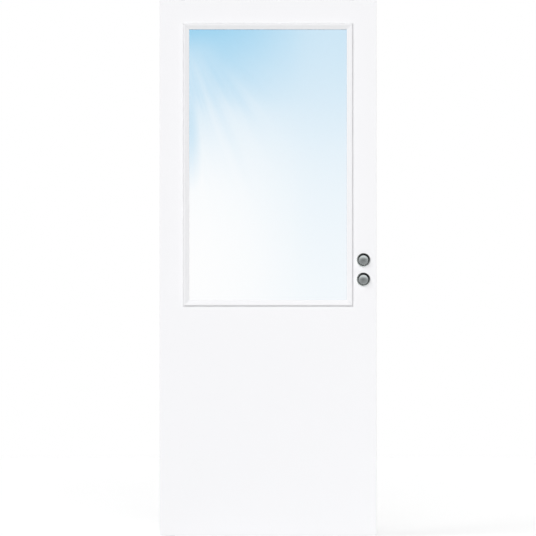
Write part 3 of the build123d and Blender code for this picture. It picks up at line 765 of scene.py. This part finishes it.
def painted_sky_depth(tree, position):
    """How deep the painted sky reflection on the pane is at each place, from 0 to 1. It is deepest in the
    upper left corner and thins out down the pane, fastest on the left, but for a strip by the left edge."""
    parts = split(tree, position)
    across = ranged(tree, parts["X"], (PANE_LOW.x, PANE_HIGH.x), smooth=False)
    down = ranged(tree, parts["Z"], (PANE_HIGH.z, PANE_LOW.z), smooth=False)
    shift = painted_ray_shift(tree, across, down)
    thinned = ranged(tree, across, THIN_ACROSS, (THIN_DEPTH, 0.0))
    thinned = arithmetic(tree, "MULTIPLY", thinned, ranged(tree, down, THIN_START))
    thinned = arithmetic(tree, "MULTIPLY", thinned, ranged(tree, down, THIN_END, (1.0, 0.1)))
    bent = arithmetic(tree, "ADD", arithmetic(tree, "ADD", down, shift), thinned, clamp=True)
    mix = add(tree, "ShaderNodeMix", data_type="FLOAT")
    tree.links.new(curve_of(tree, across, PAINTED_SKY_MIX), mix.inputs["Factor"])
    tree.links.new(curve_of(tree, bent, PAINTED_SKY_LEFT), mix.inputs["A"])
    tree.links.new(curve_of(tree, bent, PAINTED_SKY_RIGHT), mix.inputs["B"])
    beside = ranged(tree, across, STRIP_ACROSS, (STRIP_DEPTH, 0.0))
    above = ranged(tree, down, STRIP_DOWN, (1.0, 0.0))
    strip = arithmetic(tree, "MULTIPLY", beside, above)
    return arithmetic(tree, "MAXIMUM", mix.outputs["Result"], strip)


def pane_glass():
    """Clear glass with a painted sky reflection, graduated down the pane, and painted light rays. Lamps shine
    through it.
    """
    finish = bpy.context.scene.door_glazing
    made, tree, shader, position = blank_material("pane glass")
    sky_reflection = add(tree, "ShaderNodeMix", data_type="RGBA")
    sky_reflection.inputs["A"].default_value = (*finish.pale_painted_sky, 1.0)
    sky_reflection.inputs["B"].default_value = (*finish.deep_painted_sky, 1.0)
    tree.links.new(painted_sky_depth(tree, position), sky_reflection.inputs["Factor"])
    tree.links.new(sky_reflection.outputs["Result"], shader.inputs["Base Color"])
    shader.inputs["Transmission Weight"].default_value = 1.0
    shader.inputs["Roughness"].default_value = 0.0
    shader.inputs["IOR"].default_value = 1.5
    clear = add(tree, "ShaderNodeBsdfTransparent")
    surface = mixed(tree, ray_is(tree, "Shadow"), shader.outputs[0], clear.outputs[0])
    tree.links.new(surface, tree.nodes["Material Output"].inputs["Surface"])
    return made


# Mesh work

def circle(height, radius, count):
    """A ring of points about Z. The radius is a number, or a function of the angle."""
    made = []
    for step in range(count):
        angle = 2 * math.pi * step / count
        reach = radius(angle) if callable(radius) else radius
        made.append(Vector((reach * math.cos(angle), reach * math.sin(angle), height)))
    return made


def skin_rings(mesh, rings, closed=False):
    """Faces between rings that follow each other. A ring of one point closes an end, and a
    closed run joins its last ring to its first."""
    corners = [[mesh.verts.new(point) for point in ring] for ring in rings]
    pairs = list(zip(corners, corners[1:]))
    if closed:
        pairs.append((corners[-1], corners[0]))
    for first, second in pairs:
        count = max(len(first), len(second))
        for step in range(count):
            after = (step + 1) % count
            if len(first) == 1:
                mesh.faces.new((first[0], second[after], second[step]))
            elif len(second) == 1:
                mesh.faces.new((first[step], first[after], second[0]))
            else:
                mesh.faces.new((first[step], first[after], second[after], second[step]))


def turned(mesh, profile, count, place=None, closed=False):
    """A profile of (radius, height) spun about Z and set at its place. A radius of zero is a point
    on the axis."""
    earlier = len(mesh.verts)
    rings = []
    for radius, height in profile:
        on_axis = not callable(radius) and radius <= 0
        rings.append([Vector((0, 0, height))] if on_axis else circle(height, radius, count))
    skin_rings(mesh, rings, closed)
    if place is not None:
        mesh.verts.ensure_lookup_table()
        bmesh.ops.transform(mesh, matrix=place, verts=mesh.verts[earlier:])


def arc(centre, radius, start, end, steps):
    """Points of (radius, height) on an arc, between two angles in degrees."""
    made = []
    for step in range(steps + 1):
        angle = math.radians(start + (end - start) * step / steps)
        made.append((centre[0] + radius * math.cos(angle), centre[1] + radius * math.sin(angle)))
    return made


def plain_ring(bore, radius, low, high, flare=0.0):
    """The section of a flat ring, which may be wider at its high side."""
    return [(bore, low), (radius, low), (radius + flare, high), (bore, high)]


def hexagon(across_flats):
    """The radius of a hexagon at each angle."""
    def radius(angle):
        turn = (angle + math.pi / 6) % (math.pi / 3) - math.pi / 6
        return across_flats / 2 / math.cos(turn)
    return radius


def cross(small, large):
    """The radius of a cross recess at each angle."""
    return lambda angle: small + (large - small) * abs(math.cos(2 * angle)) ** 6


def screw_head(mesh, place, radius):
    """A raised countersunk head with a cross recess, its rim at the place."""
    recess = radius * 0.55
    profile = [
        (0.0, -SCREW_RISE * 2),
        (radius * 0.5, -SCREW_RISE * 2),
        (radius, -SCREW_RISE * 0.2),
        (radius * 0.98, SCREW_RISE * 0.2),
        (radius * 0.8, SCREW_RISE * 0.7),
        (recess + radius * 0.05, SCREW_RISE),
        (cross(recess * 0.35, recess), SCREW_RISE),
        (cross(recess * 0.25, recess * 0.6), -SCREW_RISE * 1.2),
        (0.0, -SCREW_RISE * 1.6),
    ]
    turned(mesh, profile, SCREW_FACETS, place)


def grub_screw(mesh, place, radius, depth):
    """The end of a set screw that stands level with its hole, with a hexagon socket."""
    socket = hexagon(radius * 1.1)
    profile = [
        (0.0, -depth),
        (radius, -depth),
        (radius, -radius * 0.12),
        (radius * 0.88, 0.0),
        (socket, 0.0),
        (socket, -radius * 0.6),
        (0.0, -radius * 0.8),
    ]
    turned(mesh, profile, SCREW_FACETS, place)


def facing(direction, point):
    """A place whose Z axis points along a direction."""
    turn = Vector(direction).to_track_quat("Z", "Y").to_matrix().to_4x4()
    return Matrix.Translation(point) @ turn


def finish_mesh(name, mesh, place, body, material):
    """Makes the object of a finished mesh, smooth but for its sharp edges, and lets it ride on a body."""
    bmesh.ops.recalc_face_normals(mesh, faces=mesh.faces)
    data = bpy.data.meshes.new(name)
    mesh.to_mesh(data)
    mesh.free()
    data.shade_smooth()
    data.set_sharp_from_angle(angle=math.radians(SHARP))
    data.materials.append(material)
    made = bpy.data.objects.new(name, data)
    bpy.context.scene.collection.objects.link(made)
    made.matrix_world = place
    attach(made, body)
    return made


def dress(node, material, edge=0.0, steps=2, sharp=SHARP):
    """Gives a node of the door its finish and eases its edges."""
    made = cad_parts[node]
    made.data.materials.clear()
    made.data.materials.append(material)
    made.data.shade_smooth()
    made.data.set_sharp_from_angle(angle=math.radians(sharp))
    if edge:
        weld = made.modifiers.new("weld", "WELD")
        weld.merge_threshold = WELD_REACH
        ease = made.modifiers.new("eased edges", "BEVEL")
        ease.width = edge
        ease.segments = steps
        ease.limit_method = "ANGLE"
        ease.angle_limit = math.radians(sharp)
        flatten = made.modifiers.new("flat faces", "WEIGHTED_NORMAL")
        flatten.weight = 100
        flatten.keep_sharp = True


# Operators, one for each piece or group of like pieces

class DressLeaf(Operator):
    """Lacquers the leaf's skins and edges"""

    bl_idname = "sliding_door.dress_leaf"
    bl_label = "Dress the leaf"

    def execute(self, context):
        for node in ("face_panel_front", "face_panel_back"):
            dress(node, lacquer())
        for node in ("stile_leading", "stile_trailing", "top_rail", "bottom_rail"):
            dress(node, lacquered_timber())
        dress("core_panel", particle_board())
        return {"FINISHED"}


class DressGlazing(Operator):
    """Finishes the beads, the pane, its tapes and its setting blocks"""

    bl_idname = "sliding_door.dress_glazing"
    bl_label = "Dress the glazing"

    def execute(self, context):
        for face in FACES:
            for side in ("bottom", "left", "top", "right"):
                dress(f"bead_{face}_{side}", bead_lacquer(), sharp=SLIGHTLY_SHARP)
            dress("glazing_tape_" + face, glazing_foam())
        dress("glass_pane", pane_glass(), sharp=SLIGHTLY_SHARP)
        dress("setting_blocks", packer_plastic())
        return {"FINISHED"}


def knob_profile(form, rise):
    """The section of a knob, from its neck round the back of its head to the top of its dome."""
    back = ROSE_THICKNESS + FINGER_GAP
    front = rise - form.crown
    shoulder = form.head / 2 - form.lip
    profile = [(0.0, NECK_CLEARANCE), (NECK_RADIUS, NECK_CLEARANCE)]
    profile += arc((NECK_RADIUS + NECK_FLARE, back - NECK_FLARE), NECK_FLARE, 180, 90, 6)
    profile += arc((shoulder, back + form.lip), form.lip, -90, 0, LIP_STEPS)
    profile += arc((shoulder, front - form.lip), form.lip, 0, 70, LIP_STEPS)
    edge, level = profile[-1]
    dome = (shoulder**2 + form.crown**2) / (2 * form.crown)
    for step in range(1, CURVE_STEPS + 1):
        radius = edge * (1 - step / CURVE_STEPS)
        fall = (dome - math.sqrt(dome**2 - radius**2)) / form.crown
        profile.append((radius, rise - (rise - level) * fall))
    return profile


def rose_profile(form):
    """The section of a rose: a rounded rim, a cove down to the neck, and the flat back."""
    outer = form.rose / 2
    bore = NECK_RADIUS + NECK_CLEARANCE
    rim = outer - ROSE_LIP - ROSE_RIM
    cove = (rim - bore) * COVE_SHARE
    top = ROSE_THICKNESS - COVE_CHAMFER
    profile = [(bore, 0.0), (outer, 0.0)]
    profile += arc((outer - ROSE_LIP, ROSE_THICKNESS - ROSE_LIP), ROSE_LIP, 0, 90, LIP_STEPS)
    profile.append((rim + COVE_CHAMFER, ROSE_THICKNESS))
    for step in range(CURVE_STEPS + 1):
        angle = math.pi / 2 * step / CURVE_STEPS
        inward = cove * (1 - math.cos(angle))
        profile.append((rim - inward, top - (top - ROSE_FLOOR) * math.sin(angle)))
    profile.append((bore, ROSE_FLOOR))
    return profile


def turn_knob(form, node, face, body):
    """Turns one knob, with the grub screw in its neck. Returns the place of its foot on the leaf."""
    out, level = FACES[face]
    low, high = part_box(node)
    rise = level - low.y if face == "front" else high.y - level
    foot = Vector((middle(node).x, level, middle(node).z))
    place = facing((0, out, 0), foot)
    mesh = bmesh.new()
    turned(mesh, knob_profile(form, rise), form.facets)
    grub = foot + Vector((0, out * (ROSE_THICKNESS + KNOB_GRUB_HEIGHT), -NECK_RADIUS - GRUB_RISE))
    grub_screw(mesh, place.inverted() @ facing((0, 0, -1), grub), KNOB_GRUB, KNOB_GRUB_DEPTH)
    made = finish_mesh(node + "_turned", mesh, place, body, satin_nickel())
    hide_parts(node)
    return place


def turn_rose(form, node, place):
    """Turns one rose, about the axis of its knob."""
    mesh = bmesh.new()
    turned(mesh, rose_profile(form), form.facets, closed=True)
    made = finish_mesh(node + "_turned", mesh, place, "leaf", rose_nickel())
    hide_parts(node)


class TurnKnobs(Operator):
    """Turns the roses and knobs on both faces of the leaf"""

    bl_idname = "sliding_door.turn_knobs"
    bl_label = "Turn the knobs"

    def execute(self, context):
        form = context.scene.door_knobs
        pairs = (("pull_knob", "rose_upper", "leaf"), ("turn_knob", "rose_lower", "turn_knobs"))
        for knob, rose, body in pairs:
            for face in FACES:
                place = turn_knob(form, f"{knob}_{face}", face, body)
                turn_rose(form, f"{rose}_{face}", place)
        return {"FINISHED"}


class DressLock(Operator):
    """Finishes the lock and its hook, and screws its forend to the leaf's edge"""

    bl_idname = "sliding_door.dress_lock"
    bl_label = "Dress the lock"

    def execute(self, context):
        dress("lock_body", lock_steel(), edge=0.0003)
        dress("hook_bolt", lock_steel(), edge=0.0008)
        low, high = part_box("lock_body")
        mesh = bmesh.new()
        for height in (low.z + FOREND_INSET, high.z - FOREND_INSET):
            place = facing((1, 0, 0), (high.x, middle("lock_body").y, height))
            screw_head(mesh, place, FOREND_SCREW)
        finish_mesh("forend_screws", mesh, Matrix(), "leaf", bright_zinc())
        return {"FINISHED"}


def wheel_profile(radius, half):
    """The section of a wheel: a crowned tread, thin web and hub."""
    rim = radius - WHEEL_RIM
    web = half * WEB_SHARE
    side = [
        (WHEEL_BORE, half),
        (WHEEL_HUB, half),
        (WHEEL_HUB + WEB_SLOPE, web),
        (rim - WEB_SLOPE, web),
        (rim, half),
        (radius - TREAD_LIP, half),
    ]
    tread = []
    for step in range(-TREAD_STEPS, TREAD_STEPS + 1):
        height = -(half - TREAD_LIP) * step / TREAD_STEPS
        tread.append((radius - TREAD_CROWN * (height / half) ** 2, height))
    return side + tread + [(reach, -height) for reach, height in reversed(side)]


class MakeWheels(Operator):
    """Turns the wheels with their bearings and the rings that keep them on their axles"""

    bl_idname = "sliding_door.make_wheels"
    bl_label = "Make the wheels"

    def execute(self, context):
        radius = context.scene.door_gear.wheel / 2
        half = WHEEL_WIDTH / 2
        wheel = wheel_profile(radius, half)
        bearing = plain_ring(BEARING_BORE, BEARING_RADIUS, half, half + BEARING_RISE, flare=BEARING_RISE)
        keeper = plain_ring(KEEPER_BORE, KEEPER_RADIUS, half + KEEPER_GAP, half + KEEPER_TOP)
        for side in ("left", "right"):
            low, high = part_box("wheels_" + side)
            treads, bearings, keepers = bmesh.new(), bmesh.new(), bmesh.new()
            for x in (low.x + radius, high.x - radius):
                for y, out in ((low.y + half, -1), (high.y - half, 1)):
                    place = facing((0, out, 0), (x, y, middle("wheels_" + side).z))
                    for mesh, profile in ((treads, wheel), (bearings, bearing), (keepers, keeper)):
                        turned(mesh, profile, WHEEL_FACETS, place, closed=True)
            name = f"wheels_{side}_turned"
            made = finish_mesh(name, treads, Matrix(), "leaf", wheel_nylon())
            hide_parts("wheels_" + side)
            for name, mesh in (("wheel_bearings_", bearings), ("axle_rings_", keepers)):
                finish_mesh(name + side, mesh, Matrix(), "leaf", bright_zinc())
        return {"FINISHED"}


def nut(mesh, low, high, bore=0.0):
    """A hexagon nut with its corners turned off at both ends. Without a bore it is a bolt's head."""
    flat = NUT_WIDTH / 2
    outline = circle(0.0, hexagon(NUT_WIDTH), NUT_FACETS)

    def corners(height, inward):
        """The outline at one end, its corners drawn inward from that end."""
        return [Vector((p.x, p.y, height + inward * (p.xy.length - flat) * NUT_SLOPE)) for p in outline]

    def inner(height):
        """The ring of the bore at one end, or the middle point of a solid head."""
        return circle(height, bore, NUT_FACETS) if bore else [Vector((0, 0, height))]

    rings = [
        inner(low),
        circle(low, flat * NUT_FACE, NUT_FACETS),
        corners(low, 1),
        corners(high, -1),
        circle(high, flat * NUT_FACE, NUT_FACETS),
        inner(high),
    ]
    skin_rings(mesh, rings, closed=bore > 0)


def thread(mesh, low, high, radius, pitch):
    """A threaded rod with flat ends. Its radius rises and falls along the helix."""
    depth = pitch * THREAD_DEPTH
    steps = int((high - low) / pitch * THREAD_STEPS)
    rings = [[Vector((0, 0, low))], circle(low, radius - depth, THREAD_FACETS)]
    for step in range(steps + 1):
        height = low + pitch * 0.5 + (high - low - pitch) * step / steps

        def reach(angle, height=height):
            turn = (height / pitch - angle / (2 * math.pi)) % 1.0
            return radius - depth * abs(2 * turn - 1)

        rings.append(circle(height, reach, THREAD_FACETS))
    rings += [circle(high, radius - depth, THREAD_FACETS), [Vector((0, 0, high))]]
    skin_rings(mesh, rings)


def make_bolt(gear, side):
    """One hanger bolt, with its head, its washer and the nuts above and below the plate."""
    low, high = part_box("hanger_bolt_" + side)
    plate_low, plate_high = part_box("hanger_plate_" + side)
    centre = middle("hanger_plate_" + side)
    radius = gear.bolt / 2
    washer_top = plate_high.z + WASHER_THICKNESS
    mesh = bmesh.new()
    thread(mesh, low.z, high.z - THREAD_STOP, radius, gear.pitch)
    nut(mesh, high.z - HEAD_HEIGHT, high.z)
    nut(mesh, washer_top, washer_top + LOCK_NUT_HEIGHT, radius - NUT_BITE)
    nut(mesh, plate_low.z - NUT_HEIGHT, plate_low.z, radius - NUT_BITE)
    washer = plain_ring(radius - WASHER_BITE, WASHER_RADIUS, plate_high.z, washer_top)
    turned(mesh, washer, WASHER_FACETS, closed=True)
    place = Matrix.Translation((centre.x, centre.y, 0))
    made = finish_mesh(f"hanger_bolt_{side}_threaded", mesh, place, "leaf", bright_zinc())
    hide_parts("hanger_bolt_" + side)


def screw_plate(side):
    """The screws that hold one hanger plate to the leaf."""
    low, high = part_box("hanger_plate_" + side)
    from_left = [low.x + inset for inset in PLATE_INSETS]
    from_right = [high.x - inset for inset in reversed(PLATE_INSETS)]
    mesh = bmesh.new()
    for x in from_left + from_right:
        place = Matrix.Translation((x, middle("hanger_plate_" + side).y, high.z))
        screw_head(mesh, place, PLATE_SCREW)
    finish_mesh("plate_screws_" + side, mesh, Matrix(), "leaf", bright_zinc())


class MakeHangers(Operator):
    """Threads the hanger bolts, makes their nuts and washers, and screws the plates to the leaf"""

    bl_idname = "sliding_door.make_hangers"
    bl_label = "Make the hangers"

    def execute(self, context):
        for side in ("left", "right"):
            dress("carriage_" + side, die_casting(), edge=0.0006)
            dress("hanger_plate_" + side, plated_sheet(), edge=0.0004)
            make_bolt(context.scene.door_gear, side)
            screw_plate(side)
        return {"FINISHED"}


class DressTrack(Operator):
    """Anodises the track and its wall angle, and finishes the caps, stops, buffers and screws"""

    bl_idname = "sliding_door.dress_track"
    bl_label = "Dress the track"

    def execute(self, context):
        for node in ("track_profile", "wall_angle"):
            dress(node, anodised_extrusion(), sharp=SLIGHTLY_SHARP)
        for side in ("left", "right"):
            dress("end_cap_" + side, cap_plastic(), edge=0.0006, sharp=SLIGHTLY_SHARP)
            dress("end_stop_" + side, die_casting(), edge=0.0008)
        dress("stop_buffers", buffer_rubber(), edge=0.0012, steps=3)
        grubs = bmesh.new()
        for side in ("left", "right"):
            low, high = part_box("end_stop_" + side)
            for portion in STOP_GRUB_PLACES:
                point = (low.x + (high.x - low.x) * portion, (low.y + high.y) / 2, low.z - GRUB_RISE)
                grub_screw(grubs, facing((0, 0, -1), point), STOP_GRUB, STOP_GRUB_DEPTH)
        finish_mesh("stop_screws", grubs, Matrix(), "wall_track", bright_zinc())
        screws = bmesh.new()
        low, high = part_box("wall_angle")
        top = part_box("track_profile")[1].z + ANGLE_THICKNESS
        for step in range(TRACK_SCREWS):
            x = low.x + (high.x - low.x) * (step + 0.5) / TRACK_SCREWS
            place = Matrix.Translation((x, middle("track_profile").y, top))
            screw_head(screws, place, TRACK_SCREW)
        finish_mesh("track_screws", screws, Matrix(), "wall_track", bright_zinc())
        return {"FINISHED"}


class DressGuide(Operator):
    """Finishes the floor guide"""

    bl_idname = "sliding_door.dress_guide"
    bl_label = "Dress the floor guide"

    def execute(self, context):
        dress("floor_guide", guide_plastic(), edge=0.0005, sharp=SLIGHTLY_SHARP)
        return {"FINISHED"}


def lamp(name, strength, width, direction):
    """A far, broad and soft lamp. It shines from a direction, so the light is even over the whole
    leaf, and it doesn't show in metal or in the pane."""
    data = bpy.data.lights.new(name, "SUN")
    data.energy = strength
    data.angle = width
    made = bpy.data.objects.new(name, data)
    bpy.context.scene.collection.objects.link(made)
    made.rotation_euler = Vector(direction).to_track_quat("Z", "Y").to_euler()
    made.visible_glossy = False
    made.visible_transmission = False


def floor_material():
    """White floor for the camera, lifted a little so that only the shadows on it show. It throws
    less light back at the door than it shows."""
    made, tree, shader, position = blank_material("studio floor")
    tone = add(tree, "ShaderNodeMix", data_type="RGBA")
    for socket, level in zip(("A", "B"), FLOOR_TONES):
        tone.inputs[socket].default_value = (level, level, level, 1.0)
    tree.links.new(noise(tree, position, scale=0.8), tone.inputs["Factor"])
    tree.links.new(tone.outputs["Result"], shader.inputs["Base Color"])
    shader.inputs["Roughness"].default_value = 0.9
    shader.inputs["Specular IOR Level"].default_value = 0.0
    lift = add(tree, "ShaderNodeEmission", Strength=FLOOR_LIFT)
    shown = add(tree, "ShaderNodeAddShader")
    tree.links.new(shader.outputs[0], shown.inputs[0])
    tree.links.new(lift.outputs[0], shown.inputs[1])
    dim = add(tree, "ShaderNodeBsdfDiffuse", Color=(FLOOR_BOUNCE, FLOOR_BOUNCE, FLOOR_BOUNCE, 1.0))
    seen = ray_is(tree, "Camera", "Transmission", "Glossy")
    surface = mixed(tree, seen, dim.outputs[0], shown.outputs[0])
    tree.links.new(surface, tree.nodes["Material Output"].inputs["Surface"])
    return made


def studio_world(strength):
    """Plain light from all round. It is white to the camera and through glass. Metal mirrors a
    studio that is dim straight ahead and behind, and brightest overhead."""
    made = bpy.data.worlds.new("studio")
    made.use_nodes = True
    tree = made.node_tree
    lit = tree.nodes["Background"]
    lit.inputs["Color"].default_value = WHITE
    lit.inputs["Strength"].default_value = strength
    white = add(tree, "ShaderNodeBackground", Color=WHITE, Strength=1.0)
    mirrored = add(tree, "ShaderNodeBackground", Color=WHITE)
    parts = split(tree, add(tree, "ShaderNodeTexCoord").outputs["Generated"])
    ahead = arithmetic(tree, "ABSOLUTE", parts["Y"])
    around = ranged(tree, ahead, MIRROR_TURN, (MIRROR_AHEAD, MIRROR_ASIDE))
    above = ranged(tree, parts["Z"], MIRROR_RISE, (0.0, MIRROR_ABOVE))
    tree.links.new(arithmetic(tree, "ADD", around, above), mirrored.inputs["Strength"])
    for_metal = mixed(tree, ray_is(tree, "Glossy"), lit.outputs[0], mirrored.outputs[0])
    surface = mixed(tree, ray_is(tree, "Camera", "Transmission"), for_metal, white.outputs[0])
    tree.links.new(surface, tree.nodes["World Output"].inputs["Surface"])
    bpy.context.scene.world = made


def set_camera(stage):
    """A camera that looks at the leaf head on and takes in its full height."""
    camera = bpy.data.objects.new("camera", bpy.data.cameras.new("camera"))
    bpy.context.scene.collection.objects.link(camera)
    camera.data.lens = stage.lens
    camera.data.clip_start = NEAREST
    camera.data.clip_end = FARTHEST
    centre = (LEAF_LOW + LEAF_HIGH) / 2
    away = (LEAF_HIGH - LEAF_LOW).z * stage.lens / camera.data.sensor_width
    camera.location = (centre.x, LEAF_LOW.y - away, centre.z)
    camera.rotation_euler = (math.radians(90), 0, 0)
    bpy.context.scene.camera = camera


class SetStage(Operator):
    """Sets the floor, the lamps, the light from all round and the camera"""

    bl_idname = "sliding_door.set_stage"
    bl_label = "Set the stage"

    def execute(self, context):
        stage = context.scene.door_stage
        bpy.ops.mesh.primitive_plane_add(size=stage.floor, location=(0, 0, FLOOR_LEVEL))
        floor = context.object
        floor.name = "studio_floor"
        floor.data.materials.append(floor_material())
        for face, (out, _) in FACES.items():
            key_from = (out * KEY_ASIDE, out * KEY_AHEAD, KEY_ABOVE)
            fill_from = (0.0, out * FILL_AHEAD, FILL_ABOVE)
            lamp("key_lamp_" + face, stage.key, stage.key_width, key_from)
            lamp("fill_lamp_" + face, stage.fill, stage.fill_width, fill_from)
        studio_world(stage.sky)
        set_camera(stage)
        context.scene.view_settings.view_transform = "Standard"
        return {"FINISHED"}


class DoorPanel(Panel):
    """Lists the door's sizes, colours and steps"""

    bl_idname = "SLIDING_DOOR_PT_steps"
    bl_label = "Sliding door"
    bl_space_type = "VIEW_3D"
    bl_region_type = "UI"
    bl_category = "Sliding door"

    def draw(self, context):
        for name, group in SETTINGS.items():
            box = self.layout.box()
            for setting in group.__annotations__:
                box.prop(getattr(context.scene, name), setting)
        for step in STEPS:
            self.layout.operator(step.bl_idname)


STEPS = (
    DressLeaf,
    DressGlazing,
    TurnKnobs,
    DressLock,
    MakeWheels,
    MakeHangers,
    DressTrack,
    DressGuide,
    SetStage,
)
CLASSES = (*SETTINGS.values(), *STEPS, DoorPanel)


def register():
    for cls in CLASSES:
        bpy.utils.register_class(cls)
    for name, group in SETTINGS.items():
        setattr(bpy.types.Scene, name, PointerProperty(type=group))


def unregister():
    for name in SETTINGS:
        delattr(bpy.types.Scene, name)
    for cls in reversed(CLASSES):
        bpy.utils.unregister_class(cls)


def main():
    register()
    for step in STEPS:
        group, name = step.bl_idname.split(".")
        getattr(getattr(bpy.ops, group), name)()


if __name__ == "__main__":
    main()
